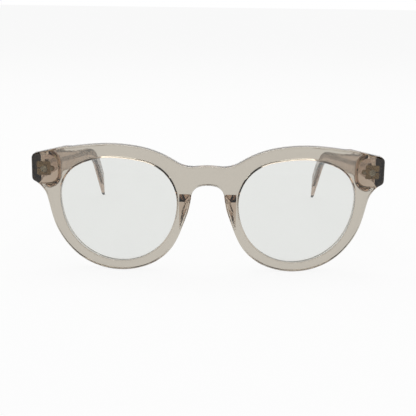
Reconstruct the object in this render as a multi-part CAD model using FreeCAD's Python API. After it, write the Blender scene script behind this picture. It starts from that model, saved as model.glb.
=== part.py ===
"""Round eyeglasses of clear champagne acetate, standing open on a table.

The front looks along -Y, the temples run back along +Y and +Z is up. The
origin is under the middle of the bounding box, at table level. Everything is
modelled in millimetres with the foremost point of the bridge at y = 0, and
each finished piece is moved forward by half the depth when it is written.
"""

import FreeCAD
import Part

import math
import os

V = FreeCAD.Vector

# Lenses, boxed size as printed on such a frame: 48 wide, 23 apart
LENS_WIDTH = 48.5
LENS_HEIGHT = 43.35
BRIDGE_GAP = 23.4
LENS_THICKNESS = 2.0
LENS_CURVE_RADIUS = 160.0
LENS_PLAY = 0.08
GROOVE_DEPTH = 0.6
GROOVE_WIDTH = 1.3

# Lens outline: four quarters of two arcs each. Places are shares of the lens half sizes,
# and the last four give each quarter's tighter radius as a share of its shorter half
NASAL_RISE_SHARE = 0.15
TEMPORAL_RISE_SHARE = 0.24
TOP_SHIFT_SHARE = 0.106
BOTTOM_SHIFT_SHARE = -0.03
NASAL_TOP_SHARE = 0.946
TEMPORAL_TOP_SHARE = 0.896
TEMPORAL_BOTTOM_SHARE = 0.9763
NASAL_BOTTOM_SHARE = 0.9759

# Front plate
FRONT_CURVE_RADIUS = 380.0
FRONT_THICKNESS = 4.2
FRONT_EDGE_ROUND = 0.7
APERTURE_EDGE_ROUND = 0.4
BROW_WIDTH = 4.9
BROW_OUTER_WIDTH = 7.0
BROW_INNER_WIDTH = 5.15
RIM_SIDE_WIDTH = 3.7
RIM_LOWER_WIDTH = 3.45
RIM_BOTTOM_WIDTH = 3.15
RIM_LOWER_NASAL_WIDTH = 3.7
RIM_NASAL_WIDTH = 3.25
NOSE_EDGE_WIDTH = 4.7
BRIDGE_RISE = 18.45
BRIDGE_HEIGHT = 7.8
BRIDGE_CROWN = 0.25
BRIDGE_HALF_FLAT = 8.0
BROW_INNER_ANGLE = 122.0
BROW_OUTER_ANGLE = 66.0
BROW_OUTER_HEADING = -9.0
RIM_SIDE_ANGLE = -18.0
RIM_NASAL_ANGLE = -160.0
BRIDGE_EXIT_HEADING = 8.0
BROW_INNER_HEADING = 25.5
NOSE_EDGE_HEADING = 100.0
ARCH_HALF = 5.4
ARCH_DROP = 1.8
ARCH_HEADING = 131.0

# End pieces: the corners that carry the hinges
END_REACH = 10.8
END_TOP_RISE = 21.55
END_HEIGHT = 10.6
END_DEPTH = 8.4
END_TOP_ROUND = 2.3
END_BOTTOM_ROUND = 2.0
END_TOP_SLOPE = 14.0
END_TOP_LENGTH = 13.6
END_LOWER_SLOPE = 25.0
END_NECK_IN = 6.3
END_NECK_DROP = 6.9
END_NECK_HEADING = -105.0
BLOCK_WIDTH = 10.4
BLOCK_DROP = 2.0
BLOCK_RISE = 1.1
BLOCK_TOP_FALL = 13.5
BLOCK_CORNER_ROUND = 4.2
BLOCK_LAP = 1.6

# Hinge: knuckles on one screw, the outer ones on the front's leaf
KNUCKLES = 3
HINGE_RISE = 4.0
KNUCKLE_RADIUS = 1.4
KNUCKLE_GAP = 0.05
HINGE_HEIGHT = 5.6
LEAF_GAP = 0.1
LEAF_THICKNESS = 0.9
LEAF_INNER_REACH = 1.6
LEAF_OUTER_REACH = 4.0
LEAF_CORNER_ROUND = 0.5
LEAF_SLIT_WIDTH = 0.5
LEAF_SLIT_LENGTH = 1.5
STUD_RADIUS = 1.3
STUD_LENGTH = 3.0
STUD_OFFSET = 1.1
STUD_RING_DEPTH = 0.2
STUD_RING_WIDTH = 0.4
PIN_RADIUS = 0.65
PIN_LENGTH = 2.4
PIN_OFFSET = 2.1
PIN_LUG_RADIUS = 1.1
STUD_RINGS = 2
EMBED_GAP = 0.05
SCREW_RADIUS = 0.6
SCREW_HEAD_RADIUS = 1.0
SCREW_HEAD_HEIGHT = 0.6
SCREW_SLOT_WIDTH = 0.3
SCREW_SLOT_DEPTH = 0.3
SCREW_CLEARANCE = 0.02
RUNNING_CLEARANCE = 0.05
TEMPLE_LEAF_LENGTH = 9.5
TEMPLE_LEAF_HEIGHT = 5.2

# Temples
TEMPLE_SLOPE = 6.8
TEMPLE_THICKNESS = 3.4
TEMPLE_END_THICKNESS = 3.0
TEMPLE_OFFSET = 2.4
BUTT_GAP = 0.15
HINGE_ZONE = 4.0
INWARD_ANGLE = 6.2
EAR_INWARD_ANGLE = 4.5
PLAN_BEND_START = 12.0
PLAN_BEND_RADIUS = 60.0
BEND_START = 90.0
BEND_RADIUS = 35.0
BEND_ANGLE = 37.0
TEMPLE_ROOT_HEIGHT = 11.6
TEMPLE_ROOT_RISE = -0.15
TEMPLE_WAIST_START = 14.0
TEMPLE_SHOULDER_HEIGHT = 10.6
TEMPLE_WAIST_HEIGHT = 4.6
TEMPLE_WAIST_RISE = 0.7
TIP_RADIUS = 2.7
TIP_BEVEL_LENGTH = 12.0
TIP_EDGE_THICKNESS = 1.2
TEMPLE_EDGE_ROUND = 1.0

# Wire core inside each temple
CORE_THICKNESS = 1.0
CORE_HEIGHT = 1.9
CORE_END_HEIGHT = 1.7
CORE_RISE = 0.8
CORE_START = 3.5
CORE_TIP_SHORTFALL = 9.0

# Nose pads, bonded behind the rims
PAD_TOP_DROP = 4.1
PAD_HEIGHT = 17.6
PAD_DEPTH = 5.2
PAD_LENS_MARGIN = 0.3
PAD_SPLAY = 16.0
PAD_LAND = 0.4
PAD_CREST_TOP_DROP = 3.8
PAD_CREST_HEIGHT = 4.0
PAD_TOP_LIP = 0.6
PAD_SKIN_ROUND = 0.8

# How far a cutting tool runs past what it cuts
OVERRUN = 20.0


def unit(degrees):
    """Unit vector in the drawing plane at an angle from its first axis."""
    return V(math.cos(math.radians(degrees)), 0, math.sin(math.radians(degrees)))


def left_of(direction):
    """The direction turned a quarter left in the drawing plane (x, z)."""
    return V(-direction.z, 0, direction.x)


def arc_piece(start, heading, end):
    """Arc that leaves start along heading and ends at end, as three points with left normals."""
    chord = end - start
    side = left_of(heading)
    across = side.dot(chord)
    if abs(across) < chord.Length * 1e-6:
        middle = (start + end) * 0.5
        return [(start, side), (middle, side), (end, side)]
    reach = chord.dot(chord) / (2 * across)
    centre = start + side * reach
    turn = 1 if reach > 0 else -1
    out_start = start - centre
    out_end = end - centre
    bisector = (out_start + out_end).normalize() * out_start.Length
    if bisector.dot(heading) < 0:
        bisector = bisector * -1
    middle = centre + bisector
    return [(p, (centre - p).normalize() * turn) for p in (start, middle, end)]


def biarc(start, end):
    """One or two arcs that join two nodes (point, heading in degrees) smoothly."""
    (p, hp), (q, hq) = start, end
    tp, tq = unit(hp), unit(hq)
    single = arc_piece(p, tp, q)
    if single[-1][1].dot(left_of(tq)) > 1 - 1e-9:
        return [single]
    span = q - p
    together = tp + tq
    bend = 2 * (tp.dot(tq) - 1)
    if abs(bend) < 1e-9:
        step = span.dot(span) / (2 * span.dot(together))
    else:
        half = span.dot(together)
        step = (half - math.sqrt(half * half - bend * span.dot(span))) / bend
    middle = (p + tp * step + q - tq * step) * 0.5
    first = arc_piece(p, tp, middle)
    second = [(pt, n * -1) for pt, n in reversed(arc_piece(q, tq * -1, middle))]
    return [first, second]


def chain(nodes):
    """Smooth chain of arcs through nodes."""
    pieces = []
    for start, end in zip(nodes, nodes[1:]):
        pieces += biarc(start, end)
    return pieces


def corner(point, heading_in, heading_out, radius):
    """Two nodes where a round of that radius starts and ends at a sharp corner."""
    reach = radius * math.tan(math.radians(abs(heading_out - heading_in)) / 2)
    return [
        (point - unit(heading_in) * reach, heading_in),
        (point + unit(heading_out) * reach, heading_out),
    ]


def edges_of(pieces, offset=0.0):
    """Edges of a chain, moved to its left by offset."""
    edges = []
    for piece in pieces:
        a, b, c = [p + n * offset for p, n in piece]
        bow = (b - (a + c) * 0.5).Length
        if bow < (c - a).Length * 1e-5:
            edges.append(Part.LineSegment(a, c).toShape())
        else:
            edges.append(Part.Arc(a, b, c).toShape())
    return edges


def mirrored(pieces):
    """The chain on the other side of x = 0, run the same way round."""
    flip = []
    for piece in reversed(pieces):
        flip.append([(V(-p.x, 0, p.z), V(-n.x, 0, n.z)) for p, n in reversed(piece)])
    return flip


def closed(points):
    """Straight edges round a list of points."""
    ends = points[1:] + points[:1]
    return [Part.LineSegment(a, b).toShape() for a, b in zip(points, ends)]


def prism(edges, y_start, y_end):
    """Solid between two depths over a closed outline drawn in the plane y = 0."""
    face = Part.Face(Part.Wire(Part.__sortEdges__(edges)))
    face.translate(V(0, y_start, 0))
    return face.extrude(V(0, y_end - y_start, 0))


def is_sharp(solid, edge):
    """Whether two faces of a solid meet at an angle along an edge."""
    middle = edge.valueAt((edge.FirstParameter + edge.LastParameter) / 2)
    faces = solid.ancestorsOfType(edge, Part.Face)
    normals = [face.normalAt(*face.Surface.parameter(middle)) for face in faces]
    return len(normals) == 2 and abs(normals[0].dot(normals[1])) < 0.9


def box(x, y, z):
    """Box between pairs of coordinates."""
    return Part.makeBox(x[1] - x[0], y[1] - y[0], z[1] - z[0], V(x[0], y[0], z[0]))


def mirror_x(shape):
    """The same shape on the other side of the frame."""
    return shape.mirror(V(0, 0, 0), V(1, 0, 0))


def sag(x):
    """How far the front surface lies behind the bridge at a width x."""
    return FRONT_CURVE_RADIUS - math.sqrt(FRONT_CURVE_RADIUS**2 - x**2)


# Places that follow from the sizes
LENS_X = (BRIDGE_GAP + LENS_WIDTH) / 2
LENS_Z = RIM_BOTTOM_WIDTH + LENS_HEIGHT / 2
LENS_TILT = math.degrees(math.asin(LENS_X / FRONT_CURVE_RADIUS))
FRONT_HALF = BRIDGE_GAP / 2 + LENS_WIDTH + END_REACH
BRIDGE_TOP = LENS_Z + BRIDGE_RISE
END_TOP = LENS_Z + END_TOP_RISE
END_BOTTOM = END_TOP - END_HEIGHT
HINGE_X = FRONT_HALF - TEMPLE_THICKNESS - TEMPLE_OFFSET
HINGE_Z = END_BOTTOM + HINGE_RISE
JOINT_BACK = KNUCKLE_RADIUS + LEAF_GAP
HINGE_Y = sag(FRONT_HALF) + END_DEPTH + JOINT_BACK
GROOVE_CENTRE = FRONT_THICKNESS / 2

SLOPE = math.radians(TEMPLE_SLOPE)
BEND = math.radians(BEND_ANGLE)
DIP = SLOPE + BEND
BEND_END_ALONG = BEND_START + BEND_RADIUS * math.sin(BEND)
BEND_END_RISE = TEMPLE_WAIST_RISE - BEND_RADIUS * (1 - math.cos(BEND))
# The ear piece is as long as it takes for the tip to touch the table
EAR_LENGTH = (
    HINGE_Z + BEND_END_RISE * math.cos(SLOPE) - BEND_END_ALONG * math.sin(SLOPE) - TIP_RADIUS
) / math.sin(DIP)
TIP_ALONG = BEND_END_ALONG + EAR_LENGTH * math.cos(BEND)
TIP_RISE = BEND_END_RISE - EAR_LENGTH * math.sin(BEND)


def down_slope(along, rise):
    """Point in the side view, from a distance along the temple's slope and a height square to it."""
    back = along * math.cos(SLOPE) + rise * math.sin(SLOPE)
    return V(back, 0, rise * math.cos(SLOPE) - along * math.sin(SLOPE))


TIP = down_slope(TIP_ALONG, TIP_RISE)
DEPTH = HINGE_Y + TIP.x + TIP_RADIUS


def quarter(side, level, share):
    """Two arcs from a point with an upright tangent to one with a level tangent.

    The tighter arc lies at the end of the longer half. Its radius is that share of the
    shorter half, and the radius of the other one follows from it.
    """
    wide = abs(level.x - side.x)
    tall = abs(level.z - side.z)
    across = V(math.copysign(1, level.x - side.x), 0, 0)
    up = V(0, 0, math.copysign(1, level.z - side.z))
    long, short = max(wide, tall), min(wide, tall)
    tight = share * short
    wider = (long * long - 2 * long * tight + short * short) / (2 * (short - tight))
    side_radius, level_radius = (tight, wider) if wide > tall else (wider, tight)
    side_centre = side + across * side_radius
    level_centre = level - up * level_radius
    line = (side_centre - level_centre).normalize() * (1 if wide > tall else -1)
    meet = level_centre + line * level_radius
    return [
        arc_piece(side, up, meet),
        [(p, n * -1) for p, n in reversed(arc_piece(level, across * -1, meet))],
    ]


def lens_outline():
    """Boxed outline of the right lens about its own centre, run clockwise from the nose."""
    half_w, half_h = LENS_WIDTH / 2, LENS_HEIGHT / 2
    nasal = V(-half_w, 0, NASAL_RISE_SHARE * half_h)
    temporal = V(half_w, 0, TEMPORAL_RISE_SHARE * half_h)
    top = V(TOP_SHIFT_SHARE * half_w, 0, half_h)
    bottom = V(BOTTOM_SHIFT_SHARE * half_w, 0, -half_h)
    quarters = [
        quarter(nasal, top, NASAL_TOP_SHARE),
        quarter(temporal, top, TEMPORAL_TOP_SHARE),
        quarter(temporal, bottom, TEMPORAL_BOTTOM_SHARE),
        quarter(nasal, bottom, NASAL_BOTTOM_SHARE),
    ]
    pieces = []
    for number, two in enumerate(quarters):
        if number % 2:
            two = [[(p, n * -1) for p, n in reversed(piece)] for piece in reversed(two)]
        pieces += two
    return pieces


LENS_PIECES = lens_outline()


def rim_node(normal_angle, width, heading=None):
    """Node that lies width outside the boxed lens, where the lens faces that way."""
    outward = unit(normal_angle)
    best = None
    for piece in LENS_PIECES:
        (a, na), _, (c, nc) = piece
        centre = meeting_of(a, na, c, nc)
        candidate = centre + outward * (a - centre).Length
        miss = min((candidate - p).Length for p in (a, piece[1][0], c))
        if best is None or miss < best[0]:
            best = (miss, candidate)
    place = best[1] + outward * width + V(LENS_X, 0, LENS_Z)
    return place, normal_angle - 90 if heading is None else heading


def meeting_of(a, na, c, nc):
    """Centre of the arc between a and c whose normals there are na and nc."""
    swing = math.acos(max(-1.0, min(1.0, na.dot(nc))))
    radius = (c - a).Length / (2 * math.sin(swing / 2))
    return a + na * radius * (1 if (na - nc).dot(c - a) > 0 else -1)


def front_outline():
    """Whole outer outline of the front, run clockwise from the middle of the brow."""
    side_top = V(FRONT_HALF, 0, END_TOP)
    side_bottom = V(FRONT_HALF, 0, END_BOTTOM)
    down_the_side = -90.0
    brow_end = side_top - unit(-END_TOP_SLOPE) * END_TOP_LENGTH
    neck = side_bottom - V(END_NECK_IN, 0, END_NECK_DROP)
    nodes = [
        (V(0, 0, BRIDGE_TOP), 0.0),
        (V(BRIDGE_HALF_FLAT, 0, BRIDGE_TOP - BRIDGE_CROWN), BRIDGE_EXIT_HEADING),
        rim_node(BROW_INNER_ANGLE, BROW_INNER_WIDTH, BROW_INNER_HEADING),
        rim_node(90.0, BROW_WIDTH),
        rim_node(BROW_OUTER_ANGLE, BROW_OUTER_WIDTH, BROW_OUTER_HEADING),
        (brow_end, -END_TOP_SLOPE),
        *corner(side_top, -END_TOP_SLOPE, down_the_side, END_TOP_ROUND),
        *corner(side_bottom, down_the_side, END_LOWER_SLOPE + 2 * down_the_side, END_BOTTOM_ROUND),
        (neck, END_NECK_HEADING),
        rim_node(RIM_SIDE_ANGLE, RIM_SIDE_WIDTH),
        rim_node(-45.0, RIM_LOWER_WIDTH),
        rim_node(-90.0, RIM_BOTTOM_WIDTH),
        rim_node(-135.0, RIM_LOWER_NASAL_WIDTH),
        rim_node(RIM_NASAL_ANGLE, RIM_NASAL_WIDTH),
        rim_node(-180.0, NOSE_EDGE_WIDTH, NOSE_EDGE_HEADING - 360),
        (V(ARCH_HALF, 0, BRIDGE_TOP - BRIDGE_HEIGHT - ARCH_DROP), ARCH_HEADING),
        (V(0, 0, BRIDGE_TOP - BRIDGE_HEIGHT), -180.0),
    ]
    right = chain(nodes)
    return right + mirrored(right)


FRONT_PIECES = front_outline()


def curved_core(radius):
    """Upright cylinder whose foremost line lies where the front of that radius does."""
    inset = FRONT_CURVE_RADIUS - radius
    height = END_TOP + LENS_HEIGHT + OVERRUN
    base = V(0, FRONT_CURVE_RADIUS, -OVERRUN)
    return Part.makeCylinder(FRONT_CURVE_RADIUS - inset, height, base)


def at_lens(shape):
    """Puts a shape drawn about the lens centre on the right rim, square to the front there."""
    placed = shape.copy()
    placed.rotate(V(0, 0, 0), V(0, 0, 1), LENS_TILT)
    placed.translate(V(LENS_X, sag(LENS_X), LENS_Z))
    return placed


def lens_prism(offset, y_start, y_end):
    """Solid over the lens outline, moved outwards by offset."""
    return prism(edges_of(LENS_PIECES, offset), y_start, y_end)


def bevel_ring(base, ridge, half_width):
    """Solid with a ridge all round: base size at both ends and ridge size between them."""
    wires = []
    for offset, y in ((base, -half_width), (ridge, 0.0), (base, half_width)):
        wire = Part.Wire(Part.__sortEdges__(edges_of(LENS_PIECES, offset)))
        wire.translate(V(0, GROOVE_CENTRE + y, 0))
        wires.append(wire)
    front = Part.makeLoft(wires[:2], True, True)
    back = Part.makeLoft(wires[1:], True, True)
    return front.fuse(back)


def lens():
    """Right lens: a spherical shell with a bevelled edge."""
    apex = GROOVE_CENTRE - LENS_THICKNESS / 2 - edge_sag()
    outer = Part.makeSphere(LENS_CURVE_RADIUS, V(0, apex + LENS_CURVE_RADIUS, 0))
    inner = Part.makeSphere(
        LENS_CURVE_RADIUS - LENS_THICKNESS, V(0, apex + LENS_CURVE_RADIUS, 0)
    )
    flat = -GROOVE_DEPTH - LENS_PLAY
    body = lens_prism(flat, -OVERRUN, OVERRUN)
    ridge = bevel_ring(flat, -LENS_PLAY, GROOVE_WIDTH / 2 - LENS_PLAY)
    return at_lens(body.fuse(ridge).common(outer).cut(inner).removeSplitter())


def edge_sag():
    """How far the lens edge lies behind its middle."""
    mean_radius = (LENS_WIDTH + LENS_HEIGHT) / 4
    return LENS_CURVE_RADIUS - math.sqrt(LENS_CURVE_RADIUS**2 - mean_radius**2)


def at_hinge(shape):
    """Puts a shape drawn about the hinge, x outwards and y backwards, on the right."""
    placed = shape.copy()
    placed.translate(V(HINGE_X, HINGE_Y, HINGE_Z))
    return placed


def behind_joint():
    """Everything behind the plane where the end piece meets the temple."""
    wide, tall = OVERRUN + FRONT_HALF, OVERRUN + END_HEIGHT
    return box((-wide, wide), (-JOINT_BACK, tall), (-tall, tall))


def end_block():
    """Thick corner behind the right end of the plate, cut upright at the joint.

    Its front part lies inside the plate.
    """
    low, high = END_BOTTOM - BLOCK_DROP, END_TOP + BLOCK_RISE
    inner, outer = FRONT_HALF - BLOCK_WIDTH, FRONT_HALF + OVERRUN
    start = sag(inner) + BLOCK_LAP
    fallen = high - (HINGE_Y - start) * math.tan(math.radians(BLOCK_TOP_FALL))
    profile = [V(start, 0, low), V(start, 0, high), V(HINGE_Y, 0, fallen), V(HINGE_Y, 0, low)]
    region = sideways_slab(closed(profile), inner, outer)
    corners = [
        edge
        for edge in region.Edges
        if all(abs(v.X - inner) < BLOCK_LAP for v in edge.Vertexes)
        and abs(edge.tangentAt(edge.FirstParameter).y) > 0.5
    ]
    region = region.makeFillet(BLOCK_CORNER_ROUND, corners)
    walls = prism(edges_of(FRONT_PIECES), start - OVERRUN, HINGE_Y + OVERRUN)
    curve = curved_core(FRONT_CURVE_RADIUS - BLOCK_LAP)
    block = walls.common(region).common(curve).cut(at_hinge(behind_joint()))
    long_edges = [
        edge
        for edge in block.Edges
        if is_sharp(block, edge) and abs(edge.tangentAt(edge.FirstParameter).y) > 0.5
    ]
    return block.makeFillet(FRONT_EDGE_ROUND, long_edges)


def round_openings(solid):
    """Rounds the edges of the lens openings on the front and back faces."""
    edges = []
    for face in solid.Faces:
        if isinstance(face.Surface, Part.Cylinder) and face.Surface.Radius > FRONT_HALF * 2:
            for wire in face.Wires:
                if not wire.isSame(face.OuterWire):
                    edges += wire.Edges
    return solid.makeFillet(APERTURE_EDGE_ROUND, edges)


def front():
    """Front of the frame: rims, bridge and end pieces in one piece of acetate."""
    inner_radius = FRONT_CURVE_RADIUS - FRONT_THICKNESS
    shell = curved_core(FRONT_CURVE_RADIUS).cut(curved_core(inner_radius))
    reach = sag(FRONT_HALF) + FRONT_THICKNESS + OVERRUN
    plate = prism(edges_of(FRONT_PIECES), -OVERRUN, reach).common(shell)
    plate = plate.makeFillet(
        FRONT_EDGE_ROUND, [edge for edge in plate.Edges if is_sharp(plate, edge)]
    )
    block = end_block()
    body = plate.fuse([block, mirror_x(block)]).removeSplitter()
    hole = at_lens(lens_prism(-GROOVE_DEPTH, -OVERRUN, OVERRUN))
    body = round_openings(body.cut(hole).cut(mirror_x(hole)))
    groove = at_lens(bevel_ring(-GROOVE_DEPTH, 0.0, GROOVE_WIDTH / 2))
    leaf = front_leaf_plate(EMBED_GAP).fuse([stud(EMBED_GAP), pin(EMBED_GAP)])
    for tool in (groove, at_hinge(leaf)):
        body = body.cut(tool).cut(mirror_x(tool))
    return body


def upright_cylinder(radius, low, high, x=0.0, y=0.0):
    """Cylinder along the hinge axis."""
    return Part.makeCylinder(radius, high - low, V(x, y, low))


def lying_cylinder(radius, y_start, y_end, x):
    """Cylinder from front to back at a distance x from the hinge axis."""
    return Part.makeCylinder(radius, y_end - y_start, V(x, y_start, 0), V(0, 1, 0))


def front_leaf_plate(extra):
    """Plate of the front hinge leaf, grown by extra for its pocket."""
    half = HINGE_HEIGHT / 2 + extra
    low = -JOINT_BACK - LEAF_THICKNESS - extra
    high = -JOINT_BACK + (OVERRUN if extra else 0)
    reach = (-LEAF_INNER_REACH - extra, LEAF_OUTER_REACH + extra)
    plate = box(reach, (low, high), (-half, half))
    uprights = [
        edge
        for edge in plate.Edges
        if abs(edge.tangentAt(edge.FirstParameter).y) > 0.5
    ]
    lug = lying_cylinder(PIN_LUG_RADIUS + extra, low, high, -PIN_OFFSET)
    return plate.makeFillet(LEAF_CORNER_ROUND, uprights).fuse(lug).removeSplitter()


def stud(extra):
    """Ringed anchor stud of the front leaf, sunk into the end piece."""
    start = -JOINT_BACK - LEAF_THICKNESS
    body = lying_cylinder(STUD_RADIUS + extra, start - STUD_LENGTH - extra, start, STUD_OFFSET)
    if extra:
        return body
    spacing = STUD_LENGTH / (STUD_RINGS + 1)
    for ring in range(STUD_RINGS):
        y = start - spacing * (ring + 1)
        groove = lying_cylinder(
            STUD_RADIUS + OVERRUN, y - STUD_RING_WIDTH / 2, y + STUD_RING_WIDTH / 2, STUD_OFFSET
        )
        neck = lying_cylinder(
            STUD_RADIUS - STUD_RING_DEPTH,
            y - STUD_RING_WIDTH,
            y + STUD_RING_WIDTH,
            STUD_OFFSET,
        )
        body = body.cut(groove.cut(neck))
    return body


def pin(extra):
    """Small locating pin of the front leaf, beside the stud."""
    start = -JOINT_BACK - LEAF_THICKNESS
    return lying_cylinder(PIN_RADIUS + extra, start - PIN_LENGTH - extra, start, -PIN_OFFSET)


def knuckle(low, high, web, bore_clearance):
    """Knuckle with its web, bored for the screw."""
    body = upright_cylinder(KNUCKLE_RADIUS, low, high).fuse(web)
    bore = upright_cylinder(SCREW_RADIUS + bore_clearance, low - OVERRUN, high + OVERRUN)
    return body.cut(bore)


def middle_half():
    """Half the height of the slot for the middle knuckle."""
    return HINGE_HEIGHT / KNUCKLES / 2


def front_hinge():
    """Front hinge leaf: a plate with an upper and a lower knuckle."""
    plate = front_leaf_plate(0)
    slit_half = LEAF_SLIT_WIDTH / 2
    slit_start = LEAF_OUTER_REACH - LEAF_SLIT_LENGTH
    slit = box(
        (slit_start, LEAF_OUTER_REACH + OVERRUN), (-OVERRUN, 0), (-slit_half, slit_half)
    )
    leaf = plate.cut(slit)
    for low, high in ((middle_half(), HINGE_HEIGHT / 2), (-HINGE_HEIGHT / 2, -middle_half())):
        web = box((-KNUCKLE_RADIUS, KNUCKLE_RADIUS), (-JOINT_BACK, 0), (low, high))
        leaf = leaf.fuse(knuckle(low, high, web, SCREW_CLEARANCE))
    return leaf.removeSplitter()


def temple_leaf_plate(extra):
    """Plate of the temple hinge leaf, let into the temple's inner face."""
    half = TEMPLE_LEAF_HEIGHT / 2 + extra
    outer = TEMPLE_OFFSET + TEMPLE_THICKNESS / 2 - CORE_THICKNESS / 2
    return box(
        (TEMPLE_OFFSET - (OVERRUN if extra else 0), outer + extra),
        (-extra, TEMPLE_LEAF_LENGTH + extra),
        (-half, half),
    )


def temple_hinge():
    """Temple hinge leaf: a plate with the middle knuckle."""
    half = middle_half() - KNUCKLE_GAP
    web = box((0, TEMPLE_OFFSET), (0, KNUCKLE_RADIUS), (-half, half))
    return (
        temple_leaf_plate(0)
        .fuse(knuckle(-half, half, web, RUNNING_CLEARANCE))
        .removeSplitter()
    )


def hinge_screw():
    """Slotted hinge screw, put in from above."""
    top = HINGE_HEIGHT / 2
    shaft = upright_cylinder(SCREW_RADIUS, -top, top)
    head = upright_cylinder(SCREW_HEAD_RADIUS, top, top + SCREW_HEAD_HEIGHT)
    slot_half = SCREW_SLOT_WIDTH / 2
    slot_floor = top + SCREW_HEAD_HEIGHT - SCREW_SLOT_DEPTH
    slot = box(
        (-OVERRUN, OVERRUN), (-slot_half, slot_half), (slot_floor, slot_floor + OVERRUN)
    )
    return shaft.fuse(head).removeSplitter().cut(slot)


def ribbon(nodes, widths, round_end):
    """Closed outline round a centreline, with a width at each node."""
    sides = []
    for sign in (1, -1):
        moved = [
            (p + left_of(unit(h)) * (sign * w / 2), h) for (p, h), w in zip(nodes, widths)
        ]
        sides.append(edges_of(chain(moved)))
    (first, first_heading), (last, last_heading) = nodes[0], nodes[-1]
    half_first = left_of(unit(first_heading)) * (widths[0] / 2)
    half_last = left_of(unit(last_heading)) * (widths[-1] / 2)
    edges = sides[0] + sides[1]
    edges.append(Part.LineSegment(first - half_first, first + half_first).toShape())
    if round_end:
        nose = last + unit(last_heading) * (widths[-1] / 2)
        edges.append(Part.Arc(last - half_last, nose, last + half_last).toShape())
    else:
        edges.append(Part.LineSegment(last - half_last, last + half_last).toShape())
    return edges


def side_nodes(start):
    """Centreline of the temple seen from the side, as distance back and height."""
    bent = -TEMPLE_SLOPE - BEND_ANGLE
    return [
        (down_slope(start, TEMPLE_ROOT_RISE), -TEMPLE_SLOPE),
        (down_slope(HINGE_ZONE, TEMPLE_ROOT_RISE), -TEMPLE_SLOPE),
        (down_slope(TEMPLE_WAIST_START, TEMPLE_ROOT_RISE), -TEMPLE_SLOPE),
        (down_slope(BEND_START, TEMPLE_WAIST_RISE), -TEMPLE_SLOPE),
        (down_slope(BEND_END_ALONG, BEND_END_RISE), bent),
        (TIP, bent),
    ]


def plan_nodes(start, end):
    """Centreline of the temple seen from above, as distance out and back."""
    middle = TEMPLE_OFFSET + TEMPLE_THICKNESS / 2
    turn, back = math.radians(INWARD_ANGLE), math.radians(INWARD_ANGLE - EAR_INWARD_ANGLE)
    bent_y = PLAN_BEND_START + PLAN_BEND_RADIUS * math.sin(turn)
    bent_x = middle - PLAN_BEND_RADIUS * (1 - math.cos(turn))
    ear_y = BEND_START + PLAN_BEND_START
    ear_x = bent_x - (ear_y - bent_y) * math.tan(turn)
    ease = PLAN_BEND_RADIUS * math.tan(back / 2)
    eased_y = ear_y + ease * (math.cos(turn) + math.cos(turn - back))
    eased_x = ear_x - ease * (math.sin(turn) + math.sin(turn - back))
    end_x = eased_x - (end - eased_y) * math.tan(turn - back)
    return [
        (V(middle, 0, start), 90.0),
        (V(middle, 0, PLAN_BEND_START), 90.0),
        (V(bent_x, 0, bent_y), 90.0 + INWARD_ANGLE),
        (V(ear_x, 0, ear_y), 90.0 + INWARD_ANGLE),
        (V(eased_x, 0, eased_y), 90.0 + EAR_INWARD_ANGLE),
        (V(end_x, 0, end), 90.0 + EAR_INWARD_ANGLE),
    ]


def upright_slab(edges, low, high):
    """Solid between two heights over an outline of distance out and back."""
    slab = prism(edges, 0, high - low)
    slab.rotate(V(0, 0, 0), V(1, 0, 0), -90)
    slab.translate(V(0, 0, high))
    return slab


def sideways_slab(edges, near, far):
    """Solid between two distances out over an outline of distance back and height."""
    slab = prism(edges, -far, -near)
    slab.rotate(V(0, 0, 0), V(0, 0, 1), 90)
    return slab


def temple_blank(start, side_widths, plan_widths, round_end):
    """Bar that follows the temple's centreline from above and from the side.

    It slopes down from an upright front end.
    """
    nodes = side_nodes(start - OVERRUN)
    side = sideways_slab(ribbon(nodes, side_widths, round_end), -OVERRUN, OVERRUN)
    plan = ribbon(plan_nodes(start, TIP.x + OVERRUN), plan_widths, False)
    return side.common(upright_slab(plan, TIP.z - OVERRUN, OVERRUN))


def core(extra):
    """Wire core of the right temple, grown by extra for its channel."""
    thick = CORE_THICKNESS + 2 * extra
    tall, low = CORE_HEIGHT + 2 * extra, CORE_END_HEIGHT + 2 * extra
    bar = temple_blank(
        CORE_START - extra, [tall, tall, tall, tall, low, low], [thick] * 6, True
    )
    shortfall = CORE_TIP_SHORTFALL - extra
    along = V(0, math.cos(DIP), -math.sin(DIP))
    beyond = box((-OVERRUN, OVERRUN), (0, OVERRUN), (-OVERRUN, OVERRUN))
    beyond.rotate(V(0, 0, 0), V(1, 0, 0), -math.degrees(DIP))
    beyond.translate(V(0, TIP.x, TIP.z) - along * shortfall)
    raised = bar.cut(beyond)
    raised.translate(V(0, 0, CORE_RISE))
    return raised


def tip_bevel():
    """Everything on the inner side of the plane that thins the temple's tip."""
    inside = TEMPLE_END_THICKNESS / 2
    finish = TIP.x + TIP_RADIUS
    first, last = (
        plan_nodes(0, back)[-1][0] - V(inside - thinned, 0, 0)
        for back, thinned in (
            (finish - TIP_BEVEL_LENGTH, 0),
            (finish, TEMPLE_END_THICKNESS - TIP_EDGE_THICKNESS),
        )
    )
    beyond = last + (last - first)
    aside = V(OVERRUN, 0, 0)
    outline = closed([first, beyond, beyond - aside, first - aside])
    return upright_slab(outline, TIP.z - OVERRUN, TIP.z + OVERRUN)


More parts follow.
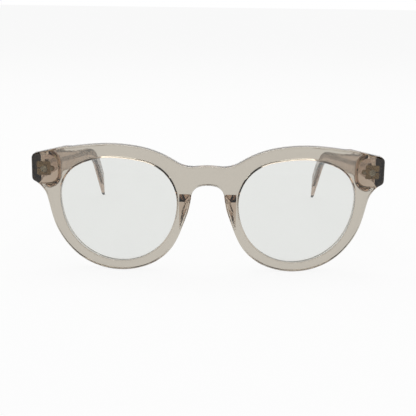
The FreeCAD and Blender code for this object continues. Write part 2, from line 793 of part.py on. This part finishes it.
def temple():
    """Right temple: a bar of acetate with rounded edges and the recesses for its metal."""
    start = BUTT_GAP - JOINT_BACK
    root, shoulder = TEMPLE_ROOT_HEIGHT, TEMPLE_SHOULDER_HEIGHT
    waist, tip = TEMPLE_WAIST_HEIGHT, 2 * TIP_RADIUS
    thick, thin = TEMPLE_THICKNESS, TEMPLE_END_THICKNESS
    bar = temple_blank(
        start,
        [root, root, shoulder, waist, tip, tip],
        [thick, thick, thick, thin, thin, thin],
        True,
    )
    long_edges = [
        edge
        for edge in bar.Edges
        if is_sharp(bar, edge) and max(v.Y for v in edge.Vertexes) > HINGE_ZONE / 2
    ]
    bar = bar.makeFillet(TEMPLE_EDGE_ROUND, long_edges)
    for tool in (tip_bevel(), temple_leaf_plate(EMBED_GAP), core(EMBED_GAP)):
        bar = bar.cut(tool)
    return bar


def nose_pad():
    """Right nose pad: a wedge bonded behind the rim, splayed away from the nose."""
    top = BRIDGE_TOP - BRIDGE_HEIGHT - PAD_TOP_DROP
    bottom = top - PAD_HEIGHT
    lens_side = BRIDGE_GAP / 2 - PAD_LENS_MARGIN
    back = FRONT_THICKNESS
    reach = back + PAD_DEPTH
    crest_top = top - PAD_CREST_TOP_DROP
    crest_bottom = crest_top - PAD_CREST_HEIGHT
    profile = [
        V(back - PAD_DEPTH, 0, bottom),
        V(back, 0, bottom),
        V(reach, 0, crest_bottom),
        V(reach, 0, crest_top),
        V(back + PAD_TOP_LIP, 0, top),
        V(back - PAD_DEPTH, 0, top),
    ]
    walls = prism(edges_of(FRONT_PIECES, -FRONT_EDGE_ROUND), 0, reach + OVERRUN)
    region = box((0, lens_side), (0, reach + OVERRUN), (bottom - OVERRUN, top + OVERRUN))
    pad = walls.common(region).common(sideways_slab(closed(profile), -OVERRUN, OVERRUN))
    wedge = nose_wedge(back)
    pad = pad.common(curved_core(FRONT_CURVE_RADIUS - FRONT_THICKNESS)).cut(wedge)
    skin_edges = [
        edge
        for edge in pad.Edges
        if is_sharp(pad, edge)
        and max(v.Y for v in edge.Vertexes) > back + PAD_DEPTH / 2
        and all(wedge.distToShape(end)[0] < PAD_LAND / 2 for end in edge.Vertexes)
    ]
    return pad.makeFillet(PAD_SKIN_ROUND, skin_edges)


def nose_wedge(back):
    """Space that the nose needs: everything inside a plane that leans out towards the back."""
    low, _ = rim_node(RIM_NASAL_ANGLE, RIM_NASAL_WIDTH)
    high, _ = rim_node(-180.0, NOSE_EDGE_WIDTH)
    lean = math.degrees(math.atan2(low.x - high.x, high.z - low.z))
    wedge = box((-2 * OVERRUN, 0), (0, 2 * OVERRUN), (-2 * OVERRUN, 2 * OVERRUN))
    wedge.rotate(V(0, 0, 0), V(0, 0, 1), -PAD_SPLAY)
    wedge.rotate(V(0, 0, 0), V(0, 1, 0), -lean)
    wedge.translate(high + V(FRONT_EDGE_ROUND - PAD_LAND, back, 0))
    return wedge


def right_side():
    """Every piece that there is one of on each side, made for the right side."""
    return {
        "lens": lens(),
        "nose_pad": nose_pad(),
        "front_hinge": at_hinge(front_hinge()),
        "anchor_stud": at_hinge(stud(0)),
        "locating_pin": at_hinge(pin(0)),
        "temple_hinge": at_hinge(temple_hinge()),
        "hinge_screw": at_hinge(hinge_screw()),
        "temple": at_hinge(temple()),
        "temple_core": at_hinge(core(0)),
    }


def main():
    """Writes one STEP file for each piece."""
    os.makedirs("parts", exist_ok=True)
    shapes = {"front": front()}
    for name, shape in right_side().items():
        shapes[name + "_right"] = shape
        shapes[name + "_left"] = mirror_x(shape)
    for name, shape in shapes.items():
        shape.translate(V(0, -DEPTH / 2, 0))
        print(name, shape.isValid(), len(shape.Solids), round(shape.Volume, 2))
        shape.exportStep(os.path.join("parts", name + ".step"))
    print("hinge axis at", HINGE_X, HINGE_Y - DEPTH / 2, HINGE_Z)


main()
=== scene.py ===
"""Round eyeglasses of clear champagne acetate, dressed and lit for a studio picture.

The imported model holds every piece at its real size. This script gives each piece its
finish, bonds the nose pads to the front the way cut acetate is bonded, and sets the
pale studio and the camera. Lengths are in metres and angles in radians unless a
docstring says otherwise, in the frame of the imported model.
"""

import logging
import math
from dataclasses import dataclass, field, replace
from enum import Enum

import bmesh
import bpy
from mathutils import Matrix, Vector


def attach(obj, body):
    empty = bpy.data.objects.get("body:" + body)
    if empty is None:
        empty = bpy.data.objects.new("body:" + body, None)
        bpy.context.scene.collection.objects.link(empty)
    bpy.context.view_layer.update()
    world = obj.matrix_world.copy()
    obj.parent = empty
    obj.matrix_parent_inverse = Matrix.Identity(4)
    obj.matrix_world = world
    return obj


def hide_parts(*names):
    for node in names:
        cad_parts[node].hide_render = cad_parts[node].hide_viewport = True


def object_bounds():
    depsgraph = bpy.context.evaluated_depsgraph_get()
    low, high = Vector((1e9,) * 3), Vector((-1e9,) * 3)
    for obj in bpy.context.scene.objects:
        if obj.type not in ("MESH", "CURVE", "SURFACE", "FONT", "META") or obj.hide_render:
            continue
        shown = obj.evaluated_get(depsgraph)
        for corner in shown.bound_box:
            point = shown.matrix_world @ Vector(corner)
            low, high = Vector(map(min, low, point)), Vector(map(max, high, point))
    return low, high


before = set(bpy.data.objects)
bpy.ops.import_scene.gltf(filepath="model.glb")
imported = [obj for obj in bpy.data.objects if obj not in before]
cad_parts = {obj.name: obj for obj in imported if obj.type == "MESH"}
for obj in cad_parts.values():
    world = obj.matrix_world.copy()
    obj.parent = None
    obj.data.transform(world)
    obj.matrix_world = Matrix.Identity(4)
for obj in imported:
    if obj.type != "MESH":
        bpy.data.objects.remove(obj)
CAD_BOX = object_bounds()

LOG = logging.getLogger("eyeglasses")
MM = 0.001
MERGE_DISTANCE = 0.001 * MM
Colour = tuple[float, float, float]
WHITE = (1.0, 1.0, 1.0)


class Side(Enum):
    """The two sides as the nodes are named, left at -X, as seen from the front."""

    LEFT = "left"
    RIGHT = "right"


class Graph:
    """A node tree with short calls to add, find and join nodes."""

    def __init__(self, tree: bpy.types.NodeTree) -> None:
        """Starts on an empty tree."""
        self.tree = tree
        tree.nodes.clear()

    def add(self, kind: str, **values: object) -> bpy.types.Node:
        """Adds a node and sets its properties and its inputs.

        Args:
            kind: The node's type, without ShaderNode in front.
            values: Property names in small letters, or input names with _ for a space.

        Returns:
            The new node.
        """
        node = self.tree.nodes.new(f"ShaderNode{kind}")
        for name, value in values.items():
            if hasattr(node, name):
                setattr(node, name, value)
            else:
                node.inputs[name.replace("_", " ")].default_value = value
        return node

    def join(self, source: bpy.types.NodeSocket, target: bpy.types.NodeSocket) -> None:
        """Links two sockets."""
        self.tree.links.new(source, target)

    def find(self, kind: str) -> bpy.types.Node:
        """The first node of a type, given by its full type name."""
        return next(node for node in self.tree.nodes if node.bl_idname == kind)


def new_group(name: str, inputs: dict[str, float], outputs: dict[str, str]) -> Graph:
    """Starts a shader node group with named sockets.

    Args:
        name: Name of the group.
        inputs: Each float input with its default value.
        outputs: Each output with its socket type.

    Returns:
        The group's graph, with its input and output nodes in place.
    """
    tree = bpy.data.node_groups.new(name, "ShaderNodeTree")
    for label, value in inputs.items():
        socket = tree.interface.new_socket(label, in_out="INPUT", socket_type="NodeSocketFloat")
        socket.default_value = value
    for label, kind in outputs.items():
        tree.interface.new_socket(label, in_out="OUTPUT", socket_type=kind)
    graph = Graph(tree)
    tree.nodes.new("NodeGroupInput")
    tree.nodes.new("NodeGroupOutput")
    return graph


def ends_of(graph: Graph) -> tuple[bpy.types.Node, bpy.types.Node]:
    """The input and output nodes of a group's graph."""
    return graph.find("NodeGroupInput"), graph.find("NodeGroupOutput")


class Effects:
    """Surface effects that several finishes share, each a node group that is built once."""

    MARK_STRETCH = (1.0, 1.0, 0.15)
    MARK_TURN = (0.4, 0.7, 0.2)
    SMUDGE_STARTS = 0.48
    SMUDGE_FULL = 0.72

    def __init__(self) -> None:
        """Builds every group."""
        self.polish = self._polish()
        self.handling = self._handling()

    def _polish(self) -> bpy.types.NodeTree:
        """Long waves and hair-fine marks that barrel polishing leaves."""
        graph = new_group(
            "barrel_polish",
            {"Wave Scale": 90.0, "Mark Scale": 900.0, "Mark Share": 0.15},
            {"Height": "NodeSocketFloat"},
        )
        start, end = ends_of(graph)
        place = graph.add("TexCoord")
        waves = graph.add("TexNoise", Detail=1.0, Roughness=0.4)
        marks = graph.add("TexNoise", Detail=2.0, Roughness=0.6)
        stretch = graph.add("Mapping", Scale=self.MARK_STRETCH, Rotation=self.MARK_TURN)
        graph.join(place.outputs["Object"], waves.inputs["Vector"])
        graph.join(place.outputs["Object"], stretch.inputs["Vector"])
        graph.join(stretch.outputs["Vector"], marks.inputs["Vector"])
        graph.join(start.outputs["Wave Scale"], waves.inputs["Scale"])
        graph.join(start.outputs["Mark Scale"], marks.inputs["Scale"])
        blend = graph.add("Mix")
        graph.join(start.outputs["Mark Share"], blend.inputs["Factor"])
        graph.join(waves.outputs["Fac"], blend.inputs["A"])
        graph.join(marks.outputs["Fac"], blend.inputs["B"])
        graph.join(blend.outputs["Result"], end.inputs["Height"])
        return graph.tree

    def _handling(self) -> bpy.types.NodeTree:
        """Soft smudges where fingers hold a piece, as a mask and a roughness."""
        graph = new_group(
            "handling",
            {"Scale": 120.0, "Clean": 0.02, "Smudged": 0.08},
            {"Roughness": "NodeSocketFloat", "Mask": "NodeSocketFloat"},
        )
        start, end = ends_of(graph)
        place = graph.add("TexCoord")
        cloud = graph.add("TexNoise", Detail=3.0, Roughness=0.55)
        ramp = graph.add("MapRange", interpolation_type="SMOOTHSTEP")
        ramp.inputs["From Min"].default_value = self.SMUDGE_STARTS
        ramp.inputs["From Max"].default_value = self.SMUDGE_FULL
        spread = graph.add("MapRange")
        graph.join(place.outputs["Object"], cloud.inputs["Vector"])
        graph.join(start.outputs["Scale"], cloud.inputs["Scale"])
        graph.join(cloud.outputs["Fac"], ramp.inputs["Value"])
        graph.join(ramp.outputs["Result"], spread.inputs["Value"])
        graph.join(start.outputs["Clean"], spread.inputs["To Min"])
        graph.join(start.outputs["Smudged"], spread.inputs["To Max"])
        graph.join(spread.outputs["Result"], end.inputs["Roughness"])
        graph.join(ramp.outputs["Result"], end.inputs["Mask"])
        return graph.tree


def start_material(name: str) -> tuple[bpy.types.Material, Graph, bpy.types.Node]:
    """Starts a material with one Principled shader on its output.

    Args:
        name: Name of the material.

    Returns:
        The material, its graph and the shader.
    """
    material = bpy.data.materials.new(name)
    material.use_nodes = True
    graph = Graph(material.node_tree)
    shader = graph.add("BsdfPrincipled")
    output = graph.add("OutputMaterial")
    graph.join(shader.outputs["BSDF"], output.inputs["Surface"])
    return material, graph, shader


def place_group(graph: Graph, group: bpy.types.NodeTree, **values: float) -> bpy.types.Node:
    """Adds a group to a material with its own values.

    Args:
        graph: The material's graph.
        group: The effect to place.
        values: Input names with _ for a space.

    Returns:
        The group node.
    """
    node = graph.add("Group", node_tree=group)
    for name, value in values.items():
        node.inputs[name.replace("_", " ")].default_value = value
    return node


def mottle(
    graph: Graph, shader: bpy.types.Node, marks: bpy.types.Node, plain: Colour, touched: Colour
) -> None:
    """Lets the handling marks set a shader's colour and roughness.

    Args:
        graph: The material's graph.
        shader: The material's Principled shader.
        marks: The placed handling group.
        plain: Colour where the surface is clean.
        touched: Colour where it is smudged.
    """
    tone = graph.add("Mix", data_type="RGBA")
    tone.inputs["A"].default_value = (*plain, 1.0)
    tone.inputs["B"].default_value = (*touched, 1.0)
    graph.join(marks.outputs["Mask"], tone.inputs["Factor"])
    graph.join(tone.outputs["Result"], shader.inputs["Base Color"])
    graph.join(marks.outputs["Roughness"], shader.inputs["Roughness"])


def ripple(graph: Graph, shader: bpy.types.Node, polish: bpy.types.Node, height: float) -> None:
    """Lets the polish group ripple a shader's normal.

    Args:
        graph: The material's graph.
        shader: The material's Principled shader.
        polish: The placed polish group.
        height: Height of the ripples.
    """
    bump = graph.add("Bump", Distance=height, Strength=1.0)
    graph.join(polish.outputs["Height"], bump.inputs["Height"])
    graph.join(bump.outputs["Normal"], shader.inputs["Normal"])


@dataclass(frozen=True)
class ClearAcetate:
    """Cut and polished clear acetate, coloured right through.

    skin and cloud tint the surface where it is clean and where it is smudged, and
    absorption is what each metre inside takes from red, green and blue.
    """

    name: str
    skin: Colour
    cloud: Colour
    absorption: Colour
    mark_scale: float = 70.0
    clean: float = 0.0
    smudged: float = 0.025
    wave_height: float = 0.02 * MM
    ior: float = 1.49

    def material(self, effects: Effects) -> bpy.types.Material:
        """Builds the material.

        Args:
            effects: The shared node groups.

        Returns:
            The finished material.
        """
        material, graph, shader = start_material(self.name)
        shader.inputs["Transmission Weight"].default_value = 1.0
        shader.inputs["IOR"].default_value = self.ior
        marks = place_group(
            graph,
            effects.handling,
            Scale=self.mark_scale,
            Clean=self.clean,
            Smudged=self.smudged,
        )
        mottle(graph, shader, marks, self.skin, self.cloud)
        ripple(graph, shader, place_group(graph, effects.polish), self.wave_height)
        density = max(self.absorption)
        inside = graph.add("VolumeAbsorption", Density=density)
        inside.inputs["Color"].default_value = (
            *(1.0 - share / density for share in self.absorption),
            1.0,
        )
        output = graph.find("ShaderNodeOutputMaterial")
        graph.join(inside.outputs["Volume"], output.inputs["Volume"])
        return material


@dataclass(frozen=True)
class CoatedLens:
    """Clear lens with a faint cool coating. Its glass colour is a light grey, painted shade of
    the backdrop seen through the lens.
    """

    name: str
    glass: Colour
    coating: Colour
    mark_scale: float = 60.0
    clean: float = 0.0
    smudged: float = 0.03
    smudge_dims: float = 0.985
    gloss: float = 0.35
    ior: float = 1.5

    def material(self, effects: Effects) -> bpy.types.Material:
        """Builds the material.

        Args:
            effects: The shared node groups.

        Returns:
            The finished material.
        """
        material, graph, shader = start_material(self.name)
        shader.inputs["Transmission Weight"].default_value = 1.0
        shader.inputs["IOR"].default_value = self.ior
        shader.inputs["Specular IOR Level"].default_value = self.gloss
        shader.inputs["Specular Tint"].default_value = (*self.coating, 1.0)
        marks = place_group(
            graph,
            effects.handling,
            Scale=self.mark_scale,
            Clean=self.clean,
            Smudged=self.smudged,
        )
        dimmed = tuple(self.smudge_dims * share for share in self.glass)
        # glass is a light grey that dims all seen through the lens: painted shade of the
        # backdrop behind it
        mottle(graph, shader, marks, self.glass, dimmed)
        return material


@dataclass(frozen=True)
class SmallMetal:
    """Metal of a small turned, stamped or drawn piece."""

    name: str
    bright: Colour
    dull: Colour
    mark_scale: float = 600.0
    polished: float = 0.2
    worn: float = 0.4
    wave_scale: float = 700.0
    scratch_scale: float = 6000.0
    scratch_share: float = 0.6
    wave_height: float = 0.004 * MM

    def material(self, effects: Effects) -> bpy.types.Material:
        """Builds the material.

        Args:
            effects: The shared node groups.

        Returns:
            The finished material.
        """
        material, graph, shader = start_material(self.name)
        shader.inputs["Metallic"].default_value = 1.0
        marks = place_group(
            graph,
            effects.handling,
            Scale=self.mark_scale,
            Clean=self.polished,
            Smudged=self.worn,
        )
        mottle(graph, shader, marks, self.bright, self.dull)
        polish = place_group(
            graph,
            effects.polish,
            Wave_Scale=self.wave_scale,
            Mark_Scale=self.scratch_scale,
            Mark_Share=self.scratch_share,
        )
        ripple(graph, shader, polish, self.wave_height)
        return material


CHAMPAGNE = (55.0, 84.0, 108.0)
FRONT_ACETATE = ClearAcetate(
    "champagne_front", (0.672, 0.706, 0.678), (0.658, 0.69, 0.662), CHAMPAGNE
)
TEMPLE_ACETATE = ClearAcetate(
    "champagne_temple", (0.735, 0.685, 0.645), (0.72, 0.67, 0.63), CHAMPAGNE
)
PAD_ACETATE = replace(FRONT_ACETATE, name="champagne_pad")
# The lens's grey glass colour is painted shade of the backdrop seen through it; the cool
# coating tint is the lens's own.
LENS = CoatedLens("coated_lens", (0.79, 0.8, 0.78), (0.75, 0.95, 1.0))
HINGE_BRASS = SmallMetal("hinge_brass", (0.6, 0.56, 0.38), (0.44, 0.4, 0.26))
STUD_NICKEL = SmallMetal("stud_nickel", (0.56, 0.58, 0.52), (0.42, 0.43, 0.38))
SCREW_STEEL = SmallMetal("screw_steel", (0.62, 0.62, 0.62), (0.4, 0.4, 0.4))
CORE_WIRE = SmallMetal("core_wire", (0.34, 0.26, 0.21), (0.26, 0.19, 0.15))


def dress(node: str, material: bpy.types.Material) -> None:
    """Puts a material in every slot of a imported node."""
    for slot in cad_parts[node].material_slots:
        slot.material = material
    LOG.info("%s in %s", node, material.name)


def select_only(piece: bpy.types.Object) -> None:
    """Selects one piece and nothing else, and makes it active."""
    bpy.ops.object.select_all(action="DESELECT")
    piece.select_set(True)
    bpy.context.view_layer.objects.active = piece


def merged_copy(node: str, name: str) -> bpy.types.Object:
    """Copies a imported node's mesh as one closed surface.

    Args:
        node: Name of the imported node.
        name: Name of the new piece.

    Returns:
        The new piece, with its normals outwards.
    """
    piece = bpy.data.objects.new(name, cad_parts[node].data.copy())
    bpy.context.scene.collection.objects.link(piece)
    piece.data.materials.clear()
    select_only(piece)
    bpy.ops.mesh.customdata_custom_splitnormals_clear()
    bpy.ops.object.mode_set(mode="EDIT")
    bpy.ops.mesh.select_all(action="SELECT")
    bpy.ops.mesh.remove_doubles(threshold=MERGE_DISTANCE)
    bpy.ops.mesh.normals_make_consistent(inside=False)
    bpy.ops.object.mode_set(mode="OBJECT")
    return piece


def join_solids(piece: bpy.types.Object, other: bpy.types.Object) -> None:
    """Makes one solid of two that overlap, and removes the second."""
    union = piece.modifiers.new("union", "BOOLEAN")
    union.operation = "UNION"
    union.solver = "EXACT"
    union.object = other
    select_only(piece)
    bpy.ops.object.modifier_apply(modifier=union.name)
    bpy.data.objects.remove(other)


def smooth_solid(piece: bpy.types.Object, crease: float) -> None:
    """Shades a solid smoothly up to a crease angle, led by its larger faces."""
    select_only(piece)
    bpy.ops.object.shade_smooth_by_angle(angle=crease)
    even = piece.modifiers.new("even", "WEIGHTED_NORMAL")
    even.keep_sharp = True
    bpy.ops.object.modifier_apply(modifier=even.name)


@dataclass
class Cove:
    """Hollow fillet round the foot of each end block, on the back of the front.

    It is width wide, and it would rise by rise at the block's wall, but it starts a lap
    away from the wall. Over the last fade before reach it runs out. The back of the front
    is known by its curve, from edge_round below it to slack above it. An edge there is
    divided in each pass until it is as short as finest, plus spread times its distance.
    """

    width: float = 2.0 * MM
    rise: float = 5.0 * MM
    lap: float = 0.05 * MM
    front_radius: float = 380.0 * MM
    back_middle: float = -69.343 * MM
    edge_round: float = 0.72 * MM
    slack: float = 0.03 * MM
    block_inner: float = 60.6 * MM
    block_low: float = 33.78 * MM
    block_high: float = 46.7 * MM
    block_corner: float = 4.2 * MM
    start: float = 48.0 * MM
    reach: float = 66.2 * MM
    fade: float = 2.4 * MM
    finest: float = 0.2 * MM
    spread: float = 0.3
    probes: int = 4
    cuts: int = 2
    passes: int = 5
    facing_back: float = 0.9
    flat: float = math.radians(4.0)

    def distance(self, point: Vector) -> float:
        """Measures how far a point is from the block's walls, as seen from the front.

        Args:
            point: A point of the front's mesh.

        Returns:
            The distance in metres, below zero inside the block's outline.
        """
        middle = (self.block_low + self.block_high) / 2
        half = (self.block_high - self.block_low) / 2 - self.block_corner
        across = self.block_inner + self.block_corner - abs(point.x)
        upward = abs(point.z - middle) - half
        inside = min(max(across, upward), 0.0)
        return inside + math.hypot(max(across, 0.0), max(upward, 0.0)) - self.block_corner

    def takes(self, point: Vector) -> bool:
        """Tells whether a point is on the back of the front, outside the block's walls.

        Args:
            point: A point of the front's mesh.

        Returns:
            Whether the cove may move it.
        """
        across = abs(point.x)
        if not self.start < across < self.reach:
            return False
        fall = self.front_radius - math.sqrt(self.front_radius**2 - across**2)
        behind = point.y - self.back_middle - fall
        on_back = -self.edge_round < behind < self.slack
        return on_back and self.distance(point) > -self.edge_round

    def height(self, point: Vector) -> float:
        """Gives the cove's height over the back of the front at a point."""
        away = max(self.distance(point), 0.0) + self.lap
        if away >= self.width:
            return 0.0
        full = self.rise * (1.0 - math.sqrt(1.0 - (1.0 - away / self.width) ** 2))
        return full * min(max((self.reach - abs(point.x)) / self.fade, 0.0), 1.0)

    def coarse(self, edge: bmesh.types.BMEdge) -> bool:
        """Tells whether an edge is too long to follow the cove.

        Args:
            edge: An edge of the front's mesh.

        Returns:
            Whether it gets divided.
        """
        ends = [corner.co for corner in edge.verts]
        if not all(self.takes(end) for end in ends):
            return False
        steps = range(self.probes + 1)
        places = (ends[0].lerp(ends[1], step / self.probes) for step in steps)
        nearest = min(max(self.distance(place), 0.0) for place in places)
        return nearest < self.width and edge.calc_length() > self.finest + self.spread * nearest

    def refine(self, piece: bpy.types.Object) -> None:
        """Divides the back of the front finely enough near the blocks, in edit mode."""
        for _ in range(self.passes):
            bpy.ops.mesh.select_mode(type="EDGE")
            bpy.ops.mesh.select_all(action="DESELECT")
            mesh = bmesh.from_edit_mesh(piece.data)
            for edge in [edge for edge in mesh.edges if self.coarse(edge)]:
                edge.select_set(True)
            bmesh.update_edit_mesh(piece.data)
            bpy.ops.mesh.subdivide(number_cuts=self.cuts)
            bpy.ops.mesh.select_all(action="SELECT")
            bpy.ops.mesh.quads_convert_to_tris(quad_method="BEAUTY", ngon_method="BEAUTY")
            bpy.ops.mesh.select_mode(type="FACE")
            bpy.ops.mesh.select_all(action="DESELECT")
            mesh = bmesh.from_edit_mesh(piece.data)
            for face in mesh.faces:
                taken = all(self.takes(corner.co) for corner in face.verts)
                if taken and face.normal.y > self.facing_back:
                    face.select_set(True)
            bmesh.update_edit_mesh(piece.data)
            bpy.ops.mesh.beautify_fill(angle_limit=self.flat)

    def shape(self, piece: bpy.types.Object) -> None:
        """Raises the back of the front into a cove round both blocks."""
        select_only(piece)
        bpy.ops.object.mode_set(mode="EDIT")
        self.refine(piece)
        mesh = bmesh.from_edit_mesh(piece.data)
        for corner in mesh.verts:
            if self.takes(corner.co):
                corner.co.y += self.height(corner.co)
        bmesh.update_edit_mesh(piece.data)
        bpy.ops.object.mode_set(mode="OBJECT")


@dataclass
class Front:
    """Front with its lenses, pads and front hinge leaves."""

    body: str = "front_frame"
    pad_sink: float = 0.15 * MM
    crease: float = math.radians(30.0)
    hollow: Cove = field(default_factory=Cove)
    acetate: ClearAcetate = FRONT_ACETATE
    pad_acetate: ClearAcetate = PAD_ACETATE
    lens: CoatedLens = LENS
    hinge: SmallMetal = HINGE_BRASS
    stud: SmallMetal = STUD_NICKEL
    screw: SmallMetal = SCREW_STEEL

    def bonded(self) -> bpy.types.Object:
        """Rims, bridge, end pieces and both pads as one body of acetate.

        Returns:
            The bonded front.
        """
        rims = merged_copy("front", "bonded_front")
        self.hollow.shape(rims)
        for side in Side:
            pad = merged_copy(f"nose_pad_{side.value}", f"bonded_pad_{side.value}")
            select_only(pad)
            bpy.ops.object.mode_set(mode="EDIT")
            bpy.ops.mesh.select_all(action="SELECT")
            bpy.ops.transform.translate(value=(0.0, -self.pad_sink, 0.0))
            bpy.ops.object.mode_set(mode="OBJECT")
            join_solids(rims, pad)
        smooth_solid(rims, self.crease)
        return rims

    def build(self, effects: Effects) -> None:
        """Builds the bonded front and dresses the other pieces.

        Args:
            effects: The shared node groups.
        """
        front = self.bonded()
        acetate = self.acetate.material(effects)
        front.data.materials.append(acetate)
        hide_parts("front", "nose_pad_left", "nose_pad_right")
        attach(front, self.body)
        LOG.info("%s, %d faces", front.name, len(front.data.polygons))
        dress("front", acetate)
        pad, lens = self.pad_acetate.material(effects), self.lens.material(effects)
        hinge, stud = self.hinge.material(effects), self.stud.material(effects)
        screw = self.screw.material(effects)
        for side in Side:
            dress(f"nose_pad_{side.value}", pad)
            dress(f"lens_{side.value}", lens)
            dress(f"front_hinge_{side.value}", hinge)
            dress(f"anchor_stud_{side.value}", stud)
            dress(f"locating_pin_{side.value}", stud)
            dress(f"hinge_screw_{side.value}", screw)


@dataclass
class Temples:
    """Both temples with their cores and hinge leaves."""

    acetate: ClearAcetate = TEMPLE_ACETATE
    core: SmallMetal = CORE_WIRE
    hinge: SmallMetal = HINGE_BRASS

    def build(self, effects: Effects) -> None:
        """Dresses the temples' pieces, their hinge leaves like those of the front.

        Args:
            effects: The shared node groups.
        """
        acetate = self.acetate.material(effects)
        core = self.core.material(effects)
        hinge = bpy.data.materials[self.hinge.name]
        for side in Side:
            dress(f"temple_{side.value}", acetate)
            dress(f"temple_core_{side.value}", core)
            dress(f"temple_hinge_{side.value}", hinge)


@dataclass(frozen=True)
class Softbox:
    """Square lamp that is aimed at the middle of the floor."""

    name: str
    place: tuple[float, float, float]
    side: float
    watts: float

    def build(self) -> None:
        """Sets up the lamp."""
        light = bpy.data.lights.new(self.name, "AREA")
        light.size = self.side
        light.energy = self.watts
        lamp = bpy.data.objects.new(self.name, light)
        bpy.context.scene.collection.objects.link(lamp)
        lamp.location = self.place
        aim = Vector((0.0, 0.0, 0.0)) - Vector(self.place)
        lamp.rotation_euler = aim.to_track_quat("-Z", "Y").to_euler()
        LOG.info("%s, %.1f W", self.name, self.watts)


SOFTBOXES = (
    Softbox("softbox_top", (0.0, 0.1, 1.0), 0.9, 5.0),
    Softbox("softbox_left", (-0.9, 0.6, 0.7), 0.4, 1.5),
    Softbox("softbox_right", (0.9, 0.5, 0.7), 0.4, 1.5),
)


@dataclass
class Studio:
    """Pale floor, soft lamps, the world around them and the camera.

    The camera's pitch and roll are in degrees and its sensor in millimetres. The sky
    lists the world's colours by the sine of a ray's rise above the horizon.
    """

    camera_back: float = 0.350
    camera_height: float = 0.1076
    camera_pitch: float = 13.035
    camera_roll: float = 0.76
    focal_pixels: float = 901.6
    image_side: float = 416.0
    middle_column: float = 207.6
    sensor: float = 36.0
    floor_half: float = 12.0
    floor_albedo: float = 0.85
    shown_white: float = 0.9
    fill: float = 0.6
    sky: tuple[tuple[float, Colour], ...] = (
        (0.18, WHITE),
        (0.3, (0.07, 0.058, 0.052)),
        (0.8, (0.12, 0.12, 0.12)),
        (0.92, WHITE),
    )
    lamps: tuple[Softbox, ...] = SOFTBOXES

    def build(self) -> None:
        """Builds the whole studio."""
        self.floor()
        self.world()
        for lamp in self.lamps:
            lamp.build()
        self.camera()

    def floor(self) -> None:
        """Plain pale floor that shows white and keeps the object's shadow."""
        bpy.ops.object.select_all(action="DESELECT")
        bpy.ops.mesh.primitive_plane_add(size=2.0 * self.floor_half, location=(0.0, 0.0, 0.0))
        floor = bpy.context.object
        floor.name = "studio_floor"
        material = bpy.data.materials.new("studio_floor")
        material.use_nodes = True
        graph = Graph(material.node_tree)
        seen = self.seen_rays(graph)
        share = graph.add("Math", operation="MULTIPLY")
        share.inputs[1].default_value = self.shown_white
        matt = graph.add("BsdfDiffuse")
        matt.inputs["Color"].default_value = (*(self.floor_albedo,) * 3, 1.0)
        glow = graph.add("Emission", Strength=1.0)
        mix = graph.add("MixShader")
        output = graph.add("OutputMaterial")
        graph.join(seen, share.inputs[0])
        graph.join(share.outputs[0], mix.inputs[0])
        graph.join(matt.outputs[0], mix.inputs[1])
        graph.join(glow.outputs[0], mix.inputs[2])
        graph.join(mix.outputs[0], output.inputs["Surface"])
        floor.data.materials.append(material)
        LOG.info("%s", floor.name)

    @staticmethod
    def seen_rays(graph: Graph) -> bpy.types.NodeSocket:
        """Tells the rays that show the studio's white from those that light the object.

        Args:
            graph: The graph of the floor's material or of the world.

        Returns:
            A value of one for rays from the camera, from a reflection or through glass,
            and otherwise zero.
        """
        path = graph.add("LightPath")
        first = graph.add("Math", operation="MAXIMUM")
        second = graph.add("Math", operation="MAXIMUM")
        graph.join(path.outputs["Is Camera Ray"], first.inputs[0])
        graph.join(path.outputs["Is Glossy Ray"], first.inputs[1])
        graph.join(first.outputs[0], second.inputs[0])
        graph.join(path.outputs["Is Transmission Ray"], second.inputs[1])
        return second.outputs[0]

    def world(self) -> None:
        """White at eye level and overhead, dark flags between them and a soft fill."""
        world = bpy.data.worlds.new("studio")
        bpy.context.scene.world = world
        world.use_nodes = True
        graph = Graph(world.node_tree)
        way = graph.add("TexCoord")
        split = graph.add("SeparateXYZ")
        flags = graph.add("ValToRGB")
        steps = flags.color_ramp.elements
        while len(steps) < len(self.sky):
            steps.new(1.0)
        for step, (position, colour) in zip(steps, self.sky):
            step.position = position
            step.color = (*colour, 1.0)
        path = graph.add("LightPath")
        keep = graph.add("Mix", data_type="RGBA")
        keep.inputs["B"].default_value = (*WHITE, 1.0)
        seen = self.seen_rays(graph)
        fill = graph.add("Background", Strength=self.fill)
        shown = graph.add("Background", Strength=1.0)
        mix = graph.add("MixShader")
        output = graph.add("OutputWorld")
        graph.join(way.outputs["Generated"], split.inputs[0])
        graph.join(split.outputs["Z"], flags.inputs[0])
        graph.join(path.outputs["Is Camera Ray"], keep.inputs["Factor"])
        graph.join(flags.outputs["Color"], keep.inputs["A"])
        graph.join(keep.outputs["Result"], shown.inputs["Color"])
        graph.join(seen, mix.inputs[0])
        graph.join(fill.outputs[0], mix.inputs[1])
        graph.join(shown.outputs[0], mix.inputs[2])
        graph.join(mix.outputs[0], output.inputs["Surface"])

    def camera(self) -> None:
        """Camera at the photograph's angle, in front of the bridge."""
        low, _ = CAD_BOX
        data = bpy.data.cameras.new("camera")
        data.sensor_width = self.sensor
        data.lens = self.focal_pixels / self.image_side * self.sensor
        data.shift_x = (self.image_side / 2.0 - self.middle_column) / self.image_side
        camera = bpy.data.objects.new("camera", data)
        bpy.context.scene.collection.objects.link(camera)
        tilt = Matrix.Rotation(math.radians(90.0 - self.camera_pitch), 4, "X")
        roll = Matrix.Rotation(math.radians(self.camera_roll), 4, "Z")
        place = Matrix.Translation((0.0, low.y - self.camera_back, self.camera_height))
        camera.matrix_world = place @ tilt @ roll
        bpy.context.scene.camera = camera
        LOG.info("%s, lens %.1f mm", camera.name, data.lens)


def main() -> None:
    """Dresses the object, builds the studio and reports each piece."""
    logging.basicConfig(level=logging.INFO, format="%(name)s: %(message)s")
    effects = Effects()
    Front().build(effects)
    Temples().build(effects)
    Studio().build()
    bpy.context.scene.view_settings.view_transform = "Standard"


if __name__ == "__main__":
    main()
